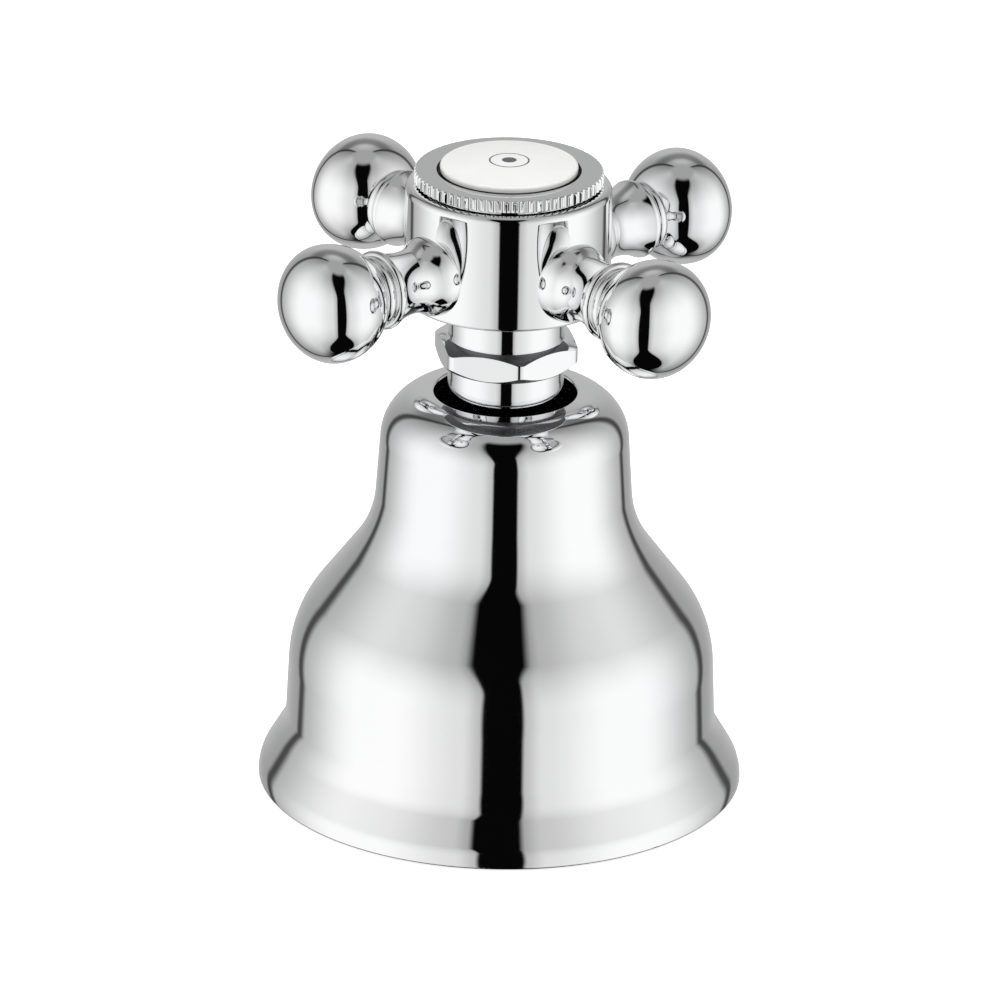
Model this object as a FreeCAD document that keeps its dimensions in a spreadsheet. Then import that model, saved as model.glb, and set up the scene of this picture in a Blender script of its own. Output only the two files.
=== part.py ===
import FreeCAD, Part
import math
import os

import Sketcher

# A quarter turn tap head with a cross handle, standing on the rim of its bell.
# +Z is the axis of the spindle and z = 0 is the surface that the rim stands on.
# The arms point along +X, +Y, -X and -Y when the tap is shut.

os.makedirs("parts", exist_ok=True)
doc = FreeCAD.newDocument("cross_handle_tap")

# ---------------------------------------------------------------- driving sizes, in mm

SIZES = {
    # bell, outside, from the rim up
    "rim_radius": 31.5,
    "rim_edge": 1.06,
    "flare_radius": 28.6,
    "flare_height": 5.9,
    "flare_round": 4.2,
    "waist_radius": 28.0,
    "waist_height": 8.3,
    "waist_round": 1.8,
    "shoulder_radius": 27.36,
    "shoulder_height": 20.8,
    "shoulder_round": 10.0,
    "neck_radius": 17.0,
    "neck_height": 35.1,
    "neck_round": 9.6,
    "crown_radius": 15.7,
    "crown_round": 6.5,
    "bell_hole_radius": 9.2,
    "bell_height": 53.6,
    "crown_drop": 0.8,
    "bell_wall": 1.5,
    # rubber ring in the rim
    "base_seal_thickness": 2.4,
    "base_seal_width": 2.8,
    "rim_lip_wall": 1.8,
    "rim_step": 2.2,
    # brass headwork, from its nose up
    "nose_bottom": 2.0,
    "nose_radius": 9.2,
    "nose_bore": 8.3,
    "nose_length": 12.0,
    "thread_radius": 10.48,
    "thread_length": 10.0,
    "flange_flats": 24.0,
    "flange_length": 7.0,
    "barrel_radius": 9.0,
    "barrel_length": 7.0,
    "stem_radius": 6.2,
    "stem_length": 22.0,
    # ring under the flange
    "flange_ring_thickness": 1.7,
    "flange_ring_depth": 1.18,
    # seat ring and ceramic discs
    "seat_ring_thickness": 3.0,
    "seat_ring_hole": 5.0,
    "seat_ring_proud": 0.8,
    "disc_thickness": 3.0,
    "disc_window_inner": 2.2,
    "disc_window_outer": 6.6,
    "disc_window_angle": 80.0,
    "disc_lug_width": 3.0,
    "drive_slot_width": 3.0,
    "drive_slot_depth": 1.2,
    "drive_slot_start": 4.5,
    # spindle
    "foot_radius": 7.8,
    "foot_thickness": 3.0,
    "foot_hub_radius": 6.2,
    "turn_angle": 90.0,
    "stop_rib_angle": 20.0,
    "stop_rib_depth": 1.6,
    "stop_clearance_angle": 1.0,
    "outlet_angle": 72.0,
    "shaft_radius": 5.0,
    "shaft_length": 17.7,
    "spindle_ring_thickness": 1.7,
    "spindle_ring_rise": 4.7,
    "spindle_ring_spacing": 6.0,
    "washer_thickness": 0.5,
    "stalk_radius": 4.0,
    "spindle_top_gap": 0.5,
    "spline_teeth": 20,
    "spline_depth": 0.4,
    "spline_mouth": 0.9,
    "screw_hole_length": 12.0,
    # bush and spring clip in the top of the stem
    "bush_wall": 1.1,
    "bush_length": 12.0,
    "relief_gap": 0.6,
    "clip_thickness": 0.8,
    "clip_depth": 0.6,
    "clip_width": 1.9,
    "clip_gap": 4.0,
    # sleeve and gland nut
    "collar_radius": 7.5,
    "nut_overlap": 2.35,
    "nut_flats": 17.0,
    "nut_hexagon_length": 3.65,
    "nut_top_slope": 0.2,
    "nut_chamfer_slope": 0.55,
    "nut_length": 8.65,
    "nut_turn": 31.9,
    # ring that centres the bell
    "carrier_radius": 13.9,
    "carrier_length": 7.0,
    "carrier_ring_thickness": 2.3,
    "lock_nut_radius": 10.5,
    "lock_nut_length": 3.5,
    "lock_nut_slot": 2.5,
    "lock_nut_slot_depth": 1.2,
    # hub of the handle
    "hub_radius": 13.26,
    "hub_length": 15.45,
    "hub_bottom_round": 0.5,
    "hub_top_round": 1.0,
    "hub_floor_rise": 9.9,
    "cap_thread_radius": 11.0,
    "cap_thread_depth": 4.55,
    "ledge_radius": 9.6,
    "ledge_wall": 1.1,
    "ledge_depth": 0.95,
    # arms
    "arm_rise": 5.67,
    "arm_root_radius": 5.05,
    "arm_neck_radius": 3.95,
    "arm_neck_start": 16.4,
    "bead_start": 20.35,
    "bead_width": 1.5,
    "bead_foot_radius": 4.45,
    "bead_gap": 0.3,
    "small_bead_width": 1.35,
    "small_bead_foot_radius": 4.35,
    "bead_roundness": 0.52,
    "ball_reach": 29.33,
    "ball_half_length": 5.79,
    "ball_radius": 7.64,
    "ball_neck_radius": 4.2,
    "spigot_radius": 2.5,
    "spigot_start": 8.7,
    # handle fixings
    "insert_radius": 5.55,
    "washer_hole": 2.7,
    "screw_washer_radius": 5.2,
    "screw_washer_thickness": 0.8,
    "screw_radius": 2.5,
    "screw_head_radius": 4.4,
    "screw_head_length": 2.8,
    "screw_shank_length": 10.5,
    "screw_socket_flats": 3.0,
    "screw_socket_depth": 1.8,
    # cap ring with its porcelain index
    "cap_gap": 0.3,
    "cap_radius": 12.15,
    "cap_top_radius": 11.8,
    "cap_thickness": 1.52,
    "cap_edge_round": 0.35,
    "cap_opening": 9.24,
    "cap_lip": 0.7,
    "cap_skirt_wall": 1.0,
    "cap_skirt_length": 4.25,
    "reeds": 70,
    "reed_depth": 0.3,
    "reed_roundness": 0.8,
    "index_radius": 8.85,
    "index_flange_radius": 9.75,
    "index_flange_thickness": 1.2,
    "index_edge_height": 0.75,
    "index_edge_round": 0.35,
    "index_rise": 0.5,
    "index_gasket_width": 1.6,
    # clearances
    "running_fit": 0.06,
    "thread_fit": 0.1,
    "ring_fit": 0.05,
    "face_gap": 0.05,
    "free_gap": 0.3,
    # how far a cut or a blended piece reaches past the surface it works on
    "overcut": 1.0,
}

sheet = doc.addObject("Spreadsheet::Sheet", "Sizes")
for row, (word, number) in enumerate(SIZES.items(), start=1):
    sheet.set(f"A{row}", word)
    sheet.set(f"B{row}", str(number))
    sheet.setAlias(f"B{row}", word)
doc.recompute()


class Size:
    """A length, angle or ratio: its number, and the sheet formula that keeps it up to date."""

    def __init__(self, number, formula):
        self.number = number
        self.formula = formula

    @staticmethod
    def of(value):
        if isinstance(value, Size):
            return value
        return Size(float(value), repr(float(value)))

    def __add__(self, other):
        other = Size.of(other)
        return Size(self.number + other.number, f"({self.formula} + {other.formula})")

    def __sub__(self, other):
        other = Size.of(other)
        return Size(self.number - other.number, f"({self.formula} - {other.formula})")

    def __mul__(self, other):
        other = Size.of(other)
        return Size(self.number * other.number, f"({self.formula} * {other.formula})")

    def __truediv__(self, other):
        other = Size.of(other)
        return Size(self.number / other.number, f"({self.formula} / {other.formula})")

    def __radd__(self, other):
        return Size.of(other) + self

    def __rsub__(self, other):
        return Size.of(other) - self

    def __rtruediv__(self, other):
        return Size.of(other) / self

    __rmul__ = __mul__


def size(word):
    return Size(float(sheet.get(word)), f"Sizes.{word}")


ZERO = Size.of(0)
TWO = Size.of(2)
QUARTERS = Size.of(4)
RIGHT_ANGLE = Size.of(90)

# ---------------------------------------------------------------- drawing and shaping helpers


def new_body(name):
    body = doc.addObject("PartDesign::Body", name)
    body.Label = name
    return body


def new_sketch(body, role, lift=ZERO):
    """An empty sketch on one of the body's own planes, moved along the plane's normal by lift."""
    sketch = body.newObject("Sketcher::SketchObject", f"{body.Name}_sketch")
    plane = next(part for part in body.Origin.OriginFeatures if part.Role == role)
    sketch.AttachmentSupport = [(plane, "")]
    sketch.MapMode = "FlatFace"
    sketch.setExpression("AttachmentOffset.Base.z", lift.formula)
    return sketch


def bind(sketch, kind, where, value):
    number = math.radians(value.number) if kind == "Angle" else value.number
    index = sketch.addConstraint(Sketcher.Constraint(kind, *where, number))
    sketch.setExpression(f"Constraints[{index}]", value.formula)


def pin_point(sketch, edge, end, across, up):
    """Hold one end of an edge at a place measured from the sketch's origin."""
    for kind, axis, value in (("DistanceX", -2, across), ("DistanceY", -1, up)):
        if value.number == 0:
            sketch.addConstraint(Sketcher.Constraint("PointOnObject", edge, end, axis))
        else:
            bind(sketch, kind, (-1, 1, edge, end), value)


def arc_edge(start, end, radius, turn):
    """A circular edge that turns left or right on its way, with the numbers of its two ends."""
    chord = end - start
    left = FreeCAD.Vector(-chord.y, chord.x, 0).normalize()
    rise = math.sqrt(radius * radius - chord.Length * chord.Length / 4)
    side = 1 if turn == "left" else -1
    centre = (start + end) / 2 + left * rise * side
    first, last = (start, end) if turn == "left" else (end, start)
    angles = [math.atan2(point.y - centre.y, point.x - centre.x) for point in (first, last)]
    circle = Part.Circle(centre, FreeCAD.Vector(0, 0, 1), radius)
    return Part.ArcOfCircle(circle, *angles), ((1, 2) if turn == "left" else (2, 1))


def outline(sketch, corners):
    """Draw a closed outline. A corner is (across, up), reached by a straight edge,
    or (across, up, radius, turn), reached by an arc of that radius that turns left or right."""
    corners = [tuple(Size.of(item) if index < 3 else item for index, item in enumerate(corner))
               for corner in corners]
    points = [FreeCAD.Vector(corner[0].number, corner[1].number, 0) for corner in corners]
    edges = []
    for index, corner in enumerate(corners):
        start, end = points[index - 1], points[index]
        if len(corner) == 2:
            shape, ends = Part.LineSegment(start, end), (1, 2)
        else:
            shape, ends = arc_edge(start, end, corner[2].number, corner[3])
        edges.append((sketch.addGeometry(shape), ends))
    for index, (corner, (edge, ends)) in enumerate(zip(corners, edges)):
        following, following_ends = edges[(index + 1) % len(edges)]
        sketch.addConstraint(
            Sketcher.Constraint("Coincident", edge, ends[1], following, following_ends[0]))
        pin_point(sketch, edge, ends[1], corner[0], corner[1])
        if len(corner) > 2:
            bind(sketch, "Radius", (edge,), corner[2])


def circle(sketch, across, up, radius):
    place = FreeCAD.Vector(across.number, up.number, 0)
    edge = sketch.addGeometry(Part.Circle(place, FreeCAD.Vector(0, 0, 1), radius.number))
    bind(sketch, "Radius", (edge,), radius)
    pin_point(sketch, edge, 3, across, up)


def rectangle(sketch, start, end, half_width):
    """A rectangle from start to end across, centred on the sketch's horizontal axis."""
    low = ZERO - half_width
    outline(sketch, [(start, low), (end, low), (end, half_width), (start, half_width)])


def sector(sketch, inner, outer, start_angle, end_angle):
    """A piece of a flat ring between two radii and two angles."""
    normal = FreeCAD.Vector(0, 0, 1)
    turns = [math.radians(angle.number) for angle in (start_angle, end_angle)]
    arcs = []
    for radius in (inner, outer):
        round_edge = Part.ArcOfCircle(Part.Circle(FreeCAD.Vector(), normal, radius.number), *turns)
        arc = sketch.addGeometry(round_edge)
        sketch.addConstraint(Sketcher.Constraint("Coincident", arc, 3, -1, 1))
        bind(sketch, "Radius", (arc,), radius)
        arcs.append(arc)
    for end, angle, turn in ((1, start_angle, turns[0]), (2, end_angle, turns[1])):
        ray = FreeCAD.Vector(math.cos(turn), math.sin(turn), 0)
        line = sketch.addGeometry(Part.LineSegment(ray * inner.number, ray * outer.number))
        sketch.addConstraint(Sketcher.Constraint("Coincident", line, 1, arcs[0], end))
        sketch.addConstraint(Sketcher.Constraint("Coincident", line, 2, arcs[1], end))
        sketch.addConstraint(Sketcher.Constraint("PointOnObject", -1, 1, line))
        bind(sketch, "Angle", (line,), angle)


def hexagon(sketch, flats, turn):
    """A hexagon about the sketch's origin, with one corner at the angle turn."""
    corner_radius = flats / math.sqrt(3)
    ring = Part.Circle(FreeCAD.Vector(), FreeCAD.Vector(0, 0, 1), corner_radius.number)
    guide = sketch.addGeometry(ring, True)
    sketch.addConstraint(Sketcher.Constraint("Coincident", guide, 3, -1, 1))
    bind(sketch, "Radius", (guide,), corner_radius)
    angles = [math.radians(turn.number + 60 * side) for side in range(6)]
    points = [FreeCAD.Vector(math.cos(angle), math.sin(angle), 0) * corner_radius.number
              for angle in angles]
    edges = [sketch.addGeometry(Part.LineSegment(points[i], points[(i + 1) % 6])) for i in range(6)]
    for index, edge in enumerate(edges):
        sketch.addConstraint(Sketcher.Constraint("Coincident", edge, 2, edges[(index + 1) % 6], 1))
        sketch.addConstraint(Sketcher.Constraint("PointOnObject", edge, 1, guide))
        if index:
            sketch.addConstraint(Sketcher.Constraint("Equal", edges[0], edge))
    bind(sketch, "Angle", (edges[0],), turn + 120)


def shape_with(body, kind, sketch, length=None, axis=None, copies=None):
    """Add one feature made from a sketch, repeat it about +Z if asked, and check what it did."""
    before = body.Shape.Volume if not body.Shape.isNull() else 0
    feature = body.newObject(f"PartDesign::{kind}", f"{body.Name}_{kind}")
    feature.Profile = sketch
    if axis:
        feature.ReferenceAxis = (sketch, [axis])
        feature.Angle = 360
    if length:
        feature.setExpression("Length", length.formula)
    if copies:
        doc.recompute()
        pattern = body.newObject("PartDesign::PolarPattern", f"{body.Name}_pattern")
        pattern.Originals = [feature]
        pattern.Axis = (next(p for p in body.Origin.OriginFeatures if p.Role == "Z_Axis"), [""])
        pattern.Angle = 360
        pattern.setExpression("Occurrences", copies.formula)
        body.Tip = pattern
    doc.recompute()
    grows = kind in ("Pad", "Revolution")
    if (body.Shape.Volume - before) * (1 if grows else -1) <= 0:
        raise RuntimeError(f"{feature.Name} changes nothing")


def turn_solid(body, corners, axis="V_Axis"):
    """Turn an outline on the XZ plane round the body's Z axis, or round its X axis."""
    sketch = new_sketch(body, "XZ_Plane")
    outline(sketch, corners)
    shape_with(body, "Revolution", sketch, axis=axis)


def turn_away(body, corners):
    sketch = new_sketch(body, "XZ_Plane")
    outline(sketch, corners)
    shape_with(body, "Groove", sketch, axis="V_Axis")


def turned(name, corners):
    body = new_body(name)
    turn_solid(body, corners)
    return body


def tube_corners(inner, outer, bottom, top):
    return [(inner, bottom), (outer, bottom), (outer, top), (inner, top)]


def sector_cut(body, inner, outer, start_angle, end_angle, top, depth, copies=None):
    sketch = new_sketch(body, "XY_Plane", top)
    sector(sketch, inner, outer, start_angle, end_angle)
    shape_with(body, "Pocket", sketch, length=depth, copies=copies)


def bar_cut(body, start, end, width, top, depth, copies=None):
    sketch = new_sketch(body, "XY_Plane", top)
    rectangle(sketch, start, end, width / 2)
    shape_with(body, "Pocket", sketch, length=depth, copies=copies)


def ring_of_wire(name, centre_radius, height, wire_radius):
    """A moulded ring of round section about +Z."""
    body = new_body(name)
    sketch = new_sketch(body, "XZ_Plane")
    circle(sketch, centre_radius, height, wire_radius)
    shape_with(body, "Revolution", sketch, axis="V_Axis")
    return body


def round_edges(body, rounds):
    """Round the circular edges that lie at the given (radius, height) places."""
    for edge_radius, height, fillet_radius in rounds:
        base = body.Tip
        names = []
        for index, edge in enumerate(body.Shape.Edges, start=1):
            curve = edge.Curve
            if not isinstance(curve, Part.Circle):
                continue
            off_radius = abs(curve.Radius - edge_radius.number)
            off_height = abs(curve.Center.z - height.number)
            if off_radius < 1e-4 and off_height < 1e-4:
                names.append(f"Edge{index}")
        fillet = body.newObject("PartDesign::Fillet", f"{body.Name}_round")
        fillet.Base = (base, names)
        fillet.setExpression("Radius", fillet_radius.formula)
        body.Tip = fillet
        doc.recompute()


# ---------------------------------------------------------------- heights and radii worked out

crown_height = size("bell_height") - size("crown_drop")
inner_crown_height = crown_height - size("bell_wall")

nose_bottom = size("nose_bottom")
thread_bottom = nose_bottom + size("nose_length")
thread_top = thread_bottom + size("thread_length")
flange_top = thread_top + size("flange_length")
barrel_top = flange_top + size("barrel_length")
stem_top = barrel_top + size("stem_length")

seat_bottom = nose_bottom - size("seat_ring_proud")
fixed_disc_bottom = seat_bottom + size("seat_ring_thickness")
fixed_disc_top = fixed_disc_bottom + size("disc_thickness")
moving_disc_bottom = fixed_disc_top + size("face_gap")
moving_disc_top = moving_disc_bottom + size("disc_thickness")
foot_bottom = moving_disc_top + size("face_gap")
foot_top = foot_bottom + size("foot_thickness")
washer_bottom = foot_top + size("face_gap")
washer_top = washer_bottom + size("washer_thickness")
bore_shoulder = washer_top + size("face_gap")
shaft_top = foot_top + size("shaft_length")
lower_ring_height = foot_top + size("spindle_ring_rise")
upper_ring_height = lower_ring_height + size("spindle_ring_spacing")

shaft_bore = size("shaft_radius") + size("running_fit")
stalk_bore = size("stalk_radius") + size("running_fit")
bush_radius = size("stalk_radius") + size("bush_wall")
bush_bore = bush_radius + size("ring_fit")
relief_bore = size("stalk_radius") + size("relief_gap")
clip_bottom = stem_top + size("free_gap")
clip_top = clip_bottom + size("clip_thickness")

sleeve_bore = size("stem_radius") + size("thread_fit")
carrier_bore = size("collar_radius") + size("thread_fit")
carrier_top = barrel_top + size("carrier_length")
nut_bottom = stem_top - size("nut_overlap")
nut_top = nut_bottom + size("nut_length")
nut_shoulder = clip_top + size("free_gap")
nut_bore = size("stalk_radius") + size("free_gap")

hub_bottom = nut_top + size("free_gap")
hub_top = hub_bottom + size("hub_length")
hub_floor = hub_bottom + size("hub_floor_rise")
spline_start = hub_bottom + size("free_gap")
arm_height = hub_bottom + size("arm_rise")
spindle_top = hub_floor - size("spindle_top_gap")
hub_bore = size("insert_radius") + size("ring_fit")
cap_bottom = hub_top + size("cap_gap")
cap_top = cap_bottom + size("cap_thickness")
ledge_top = hub_top - size("ledge_depth")
cap_seat = cap_top - size("cap_lip")
index_gasket_top = cap_seat - size("index_flange_thickness")

# ---------------------------------------------------------------- bell and its seal


def make_bell():
    """The bell: a thin turned shell, open below, with a step in its rim for the rubber ring."""
    wall = size("bell_wall")
    step_radius = size("rim_radius") - size("rim_lip_wall")
    seal_top = size("base_seal_thickness")
    inner_waist = step_radius - size("rim_step")
    outside = [
        (size("rim_radius"), ZERO),
        (size("rim_radius"), size("rim_edge")),
        (size("flare_radius"), size("flare_height")),
        (size("waist_radius"), size("waist_height")),
        (size("shoulder_radius"), size("shoulder_height")),
        (size("neck_radius"), size("neck_height")),
        (size("crown_radius"), crown_height),
        (size("bell_hole_radius"), size("bell_height")),
    ]
    inside = [
        (size("bell_hole_radius"), size("bell_height") - wall),
        (size("crown_radius") - wall, inner_crown_height),
        (size("neck_radius") - wall, size("neck_height")),
        (size("shoulder_radius") - wall, size("shoulder_height")),
        (size("waist_radius") - wall, size("waist_height")),
        (inner_waist, seal_top),
        (step_radius, seal_top),
        (step_radius, ZERO),
    ]
    bell = turned("bell_escutcheon", outside + inside)
    round_edges(bell, [
        (*outside[2], size("flare_round")),
        (*outside[3], size("waist_round")),
        (*outside[4], size("shoulder_round")),
        (*inside[3], size("shoulder_round") - wall),
        (*outside[5], size("neck_round")),
        (*inside[2], size("neck_round") + wall),
        (*inside[1], size("crown_round") - wall),
        (*outside[6], size("crown_round")),
    ])
    seal_outer = step_radius - size("ring_fit")
    turned("base_seal", tube_corners(seal_outer - size("base_seal_width"), seal_outer, ZERO, seal_top))


# ---------------------------------------------------------------- headwork


def make_headwork_body():
    """The brass body: nose with outlet windows, thread, hexagon flange, barrel and stem."""
    body = new_body("headwork_body")
    groove_bottom = thread_top - size("flange_ring_thickness") - TWO * size("ring_fit")
    groove_radius = size("thread_radius") - size("flange_ring_depth")
    turn_solid(body, [
        (ZERO, nose_bottom),
        (size("nose_radius"), nose_bottom),
        (size("nose_radius"), thread_bottom),
        (size("thread_radius"), thread_bottom),
        (size("thread_radius"), groove_bottom),
        (groove_radius, groove_bottom),
        (groove_radius, thread_top),
        (size("barrel_radius"), thread_top),
        (size("barrel_radius"), barrel_top),
        (size("stem_radius"), barrel_top),
        (size("stem_radius"), stem_top),
        (ZERO, stem_top),
    ])
    flange = new_sketch(body, "XY_Plane", thread_top)
    hexagon(flange, size("flange_flats"), ZERO)
    shape_with(body, "Pad", flange, length=size("flange_length"))
    turn_away(body, [
        (ZERO, nose_bottom),
        (size("nose_bore"), nose_bottom),
        (size("nose_bore"), bore_shoulder),
        (shaft_bore, bore_shoulder),
        (shaft_bore, shaft_top + size("free_gap")),
        (relief_bore, shaft_top + size("free_gap")),
        (relief_bore, stem_top - size("bush_length")),
        (bush_bore, stem_top - size("bush_length")),
        (bush_bore, stem_top),
        (ZERO, stem_top),
    ])
    # a rib in the nose stops the spindle's wings at shut and at full open
    rib = new_sketch(body, "XY_Plane", foot_bottom + size("free_gap"))
    wing_edge = RIGHT_ANGLE - cutout_half_angle()
    rib_start = wing_edge + size("turn_angle") + size("stop_clearance_angle")
    sector(rib, size("nose_bore") - size("stop_rib_depth"), size("nose_radius"),
           rib_start, rib_start + size("stop_rib_angle"))
    shape_with(body, "Pad", rib, length=bore_shoulder - foot_bottom - size("free_gap"))
    half_outlet = size("outlet_angle") / 2
    inside_nose = size("nose_bore") - size("overcut")
    beyond_nose = size("nose_radius") + size("overcut")
    outlet_turn = Size.of(180)
    sector_cut(body, inside_nose, beyond_nose, outlet_turn - half_outlet,
               outlet_turn + half_outlet, foot_top, size("foot_thickness"), TWO)
    slot = new_sketch(body, "XY_Plane", fixed_disc_top + size("face_gap"))
    slot.setExpression("AttachmentOffset.Rotation.Angle", RIGHT_ANGLE.formula)
    rectangle(slot, inside_nose, beyond_nose, size("disc_lug_width") / 2 + size("thread_fit"))
    shape_with(body, "Pocket", slot, length=fixed_disc_top + size("face_gap"), copies=TWO)


def cutout_half_angle():
    """Half the open angle between the wings: room for the turn, the rib and its clearance."""
    room = size("turn_angle") + size("stop_rib_angle") + 2 * size("stop_clearance_angle")
    return room / 2


def make_seals():
    ring_radius = size("flange_ring_thickness") / 2
    groove_radius = size("thread_radius") - size("flange_ring_depth")
    ring_of_wire("headwork_o_ring", groove_radius + size("ring_fit") + ring_radius,
                 thread_top - size("ring_fit") - ring_radius, ring_radius)
    turned("seat_seal", tube_corners(size("seat_ring_hole"), size("nose_bore") - size("ring_fit"),
                                     seat_bottom, fixed_disc_bottom))


def window_cuts(body, middle, top, bottom):
    """Two windows, opposite each other, through a disc."""
    half = size("disc_window_angle") / 2
    sector_cut(body, size("disc_window_inner"), size("disc_window_outer"),
               middle - half, middle + half, top, top - bottom, TWO)


def make_discs():
    """The ceramic pair: the lower disc is held by its lugs, the upper one turns with the spindle.
    Shut, the windows of the upper disc stand a quarter turn from those of the lower one."""
    fixed = turned("fixed_disc", [
        (ZERO, fixed_disc_bottom),
        (size("nose_bore") - size("ring_fit"), fixed_disc_bottom),
        (size("nose_bore") - size("ring_fit"), fixed_disc_top),
        (ZERO, fixed_disc_top),
    ])
    lug = new_sketch(fixed, "XY_Plane", fixed_disc_bottom)
    lug.setExpression("AttachmentOffset.Rotation.Angle", RIGHT_ANGLE.formula)
    rectangle(lug, size("nose_bore") - size("overcut"), size("nose_radius"),
              size("disc_lug_width") / 2)
    shape_with(fixed, "Pad", lug, length=size("disc_thickness"), copies=TWO)
    window_cuts(fixed, Size.of(180), fixed_disc_top, fixed_disc_bottom)

    moving_radius = size("nose_bore") - size("free_gap")
    moving = turned("moving_disc", [
        (ZERO, moving_disc_bottom),
        (moving_radius, moving_disc_bottom),
        (moving_radius, moving_disc_top),
        (ZERO, moving_disc_top),
    ])
    window_cuts(moving, Size.of(180) - size("turn_angle"), moving_disc_top, moving_disc_bottom)
    bar_cut(moving, size("drive_slot_start"), size("nose_bore") + size("overcut"),
            size("drive_slot_width"), moving_disc_top, size("drive_slot_depth"), TWO)


def make_spindle():
    """The brass spindle: winged foot with drive tangs, sealed shaft, stalk, spline, tapped top."""
    body = new_body("spindle")
    groove = size("shaft_radius") - size("spindle_ring_thickness") - size("ring_fit")
    half_groove = size("spindle_ring_thickness") / 2 + size("ring_fit")
    clip_groove = size("stalk_radius") - size("clip_depth")
    corners = [
        (ZERO, foot_bottom),
        (size("foot_radius"), foot_bottom),
        (size("foot_radius"), foot_top),
        (size("shaft_radius"), foot_top),
    ]
    for height in (lower_ring_height, upper_ring_height):
        corners += [
            (size("shaft_radius"), height - half_groove),
            (groove, height - half_groove),
            (groove, height + half_groove),
            (size("shaft_radius"), height + half_groove),
        ]
    corners += [
        (size("shaft_radius"), shaft_top),
        (size("stalk_radius"), shaft_top),
        (size("stalk_radius"), clip_bottom - size("face_gap")),
        (clip_groove, clip_bottom - size("face_gap")),
        (clip_groove, clip_top + size("face_gap")),
        (size("stalk_radius"), clip_top + size("face_gap")),
        (size("stalk_radius"), spindle_top),
        (ZERO, spindle_top),
    ]
    turn_solid(body, corners)
    screw_hole_bottom = hub_floor - size("screw_hole_length")
    turn_away(body, [
        (ZERO, screw_hole_bottom),
        (size("screw_radius") + size("ring_fit"), screw_hole_bottom),
        (size("screw_radius") + size("ring_fit"), spindle_top),
        (ZERO, spindle_top),
    ])
    # the two open sides of the foot let the water out and give the stop rib its travel
    half = cutout_half_angle()
    sector_cut(body, size("foot_hub_radius"), size("foot_radius") + size("overcut"),
               RIGHT_ANGLE - half, RIGHT_ANGLE + half, foot_top, size("foot_thickness"), TWO)
    tang = new_sketch(body, "XY_Plane", foot_bottom - size("drive_slot_depth") + size("face_gap"))
    rectangle(tang, size("drive_slot_start") + size("ring_fit"), size("foot_radius"),
              size("drive_slot_width") / 2 - size("ring_fit"))
    shape_with(body, "Pad", tang, length=size("drive_slot_depth"), copies=TWO)
    flute = new_sketch(body, "XY_Plane", spindle_top)
    spline_notch(flute, size("stalk_radius"))
    shape_with(body, "Pocket", flute, length=spindle_top - spline_start,
               copies=size("spline_teeth"))


def spline_notch(sketch, radius):
    """One V of the spline, with its point towards the axis."""
    half_mouth = size("spline_mouth") / 2
    mouth = radius + size("free_gap")
    point = radius - size("spline_depth")
    points = [(point, ZERO), (mouth, ZERO - half_mouth), (mouth, half_mouth)]
    outline(sketch, points)


def make_spindle_fittings():
    ring_radius = size("spindle_ring_thickness") / 2
    for name, height in (("spindle_o_ring_lower", lower_ring_height),
                         ("spindle_o_ring_upper", upper_ring_height)):
        ring_of_wire(name, size("shaft_radius") - ring_radius, height, ring_radius)
    rib_inside = size("nose_bore") - size("stop_rib_depth")
    turned("slip_washer", tube_corners(size("shaft_radius") + size("ring_fit"),
                                       rib_inside - size("free_gap"), washer_bottom, washer_top))
    turned("spindle_bush", tube_corners(stalk_bore, bush_radius,
                                        stem_top - size("bush_length"), stem_top))
    clip_inner = size("stalk_radius") - size("clip_depth") + size("ring_fit")
    clip = turned("spindle_circlip", tube_corners(clip_inner, clip_inner + size("clip_width"),
                                                  clip_bottom, clip_top))
    bar_cut(clip, clip_inner - size("overcut"), clip_inner + size("clip_width") + size("overcut"),
            size("clip_gap"), clip_top, size("clip_thickness"))


# ---------------------------------------------------------------- sleeve, nut and bell carrier


def make_sleeve_and_nut():
    """The chromed tube round the stem, and the hexagon nut that holds it down."""
    turned("cover_sleeve", tube_corners(sleeve_bore, size("collar_radius"), barrel_top, nut_bottom))

    nut = new_body("gland_nut")
    flat_radius = size("nut_flats") / 2
    corner_radius = size("nut_flats") / math.sqrt(3)
    chamfer_depth = (corner_radius - flat_radius) * size("nut_chamfer_slope")
    cone_top = nut_bottom + size("nut_hexagon_length")
    shoulder = cone_top - (flat_radius - size("collar_radius")) * size("nut_top_slope")
    beyond_corner = corner_radius + size("overcut")
    prism = new_sketch(nut, "XY_Plane", nut_bottom)
    hexagon(prism, size("nut_flats"), size("nut_turn"))
    shape_with(nut, "Pad", prism, length=cone_top - nut_bottom)
    turn_away(nut, [
        (size("collar_radius"), cone_top),
        (flat_radius, shoulder),
        (corner_radius, shoulder - chamfer_depth),
        (beyond_corner, shoulder - chamfer_depth),
        (beyond_corner, cone_top),
    ])
    turn_away(nut, [
        (flat_radius, nut_bottom),
        (beyond_corner, nut_bottom),
        (beyond_corner, nut_bottom + chamfer_depth),
        (corner_radius, nut_bottom + chamfer_depth),
    ])
    collar = new_sketch(nut, "XY_Plane", nut_bottom)
    circle(collar, ZERO, ZERO, size("collar_radius"))
    shape_with(nut, "Pad", collar, length=nut_top - nut_bottom)
    turn_away(nut, [
        (ZERO, nut_bottom),
        (sleeve_bore, nut_bottom),
        (sleeve_bore, nut_shoulder),
        (nut_bore, nut_shoulder),
        (nut_bore, nut_top),
        (ZERO, nut_top),
    ])


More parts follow.
